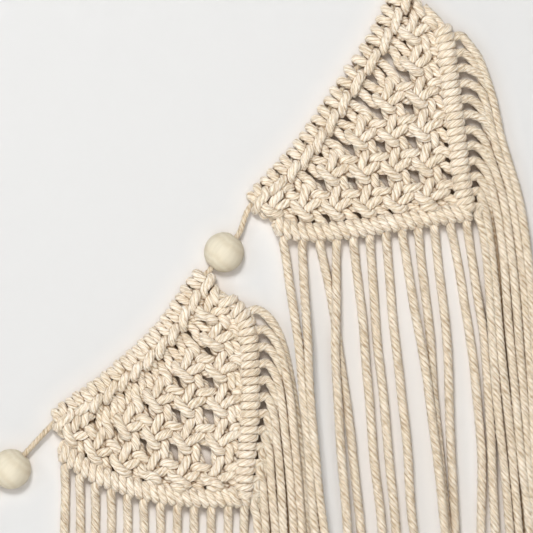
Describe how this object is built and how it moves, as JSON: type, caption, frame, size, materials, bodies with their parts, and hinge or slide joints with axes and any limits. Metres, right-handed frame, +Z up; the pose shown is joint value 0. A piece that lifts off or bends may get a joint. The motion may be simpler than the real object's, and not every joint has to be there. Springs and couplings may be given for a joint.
{
  "type": "macrame pennant garland",
  "caption": "Slanting hanging garland of fringed triangular macrame pennants knotted in off-white cotton cord, with plain wooden beads threaded on a carrier cord that ends in loops.",
  "frame": {"origin": "inside the top of the upper end loop, where a hook carries the garland", "axes": "+Z up, +X to the right across the front, +Y from the front towards the wall"},
  "size_m": [0.2969, 0.02, 0.4519],
  "materials": {
    "cotton_cord": "matte twisted natural cotton",
    "carrier_cotton": "matte twisted natural cotton, thinner",
    "bead_wood": "matte raw pale wood"
  },
  "bodies": {
    "root": {"carrier_cord": "carrier_cotton", "bead_upper": "bead_wood", "bead_lower": "bead_wood", "pennant_upper_net": "cotton_cord", "pennant_upper_bottom_fringe": "cotton_cord", "pennant_upper_side_fringe": "cotton_cord", "pennant_lower_net": "cotton_cord", "pennant_lower_bottom_fringe": "cotton_cord", "pennant_lower_side_fringe": "cotton_cord"}
  },
  "joints": []
}
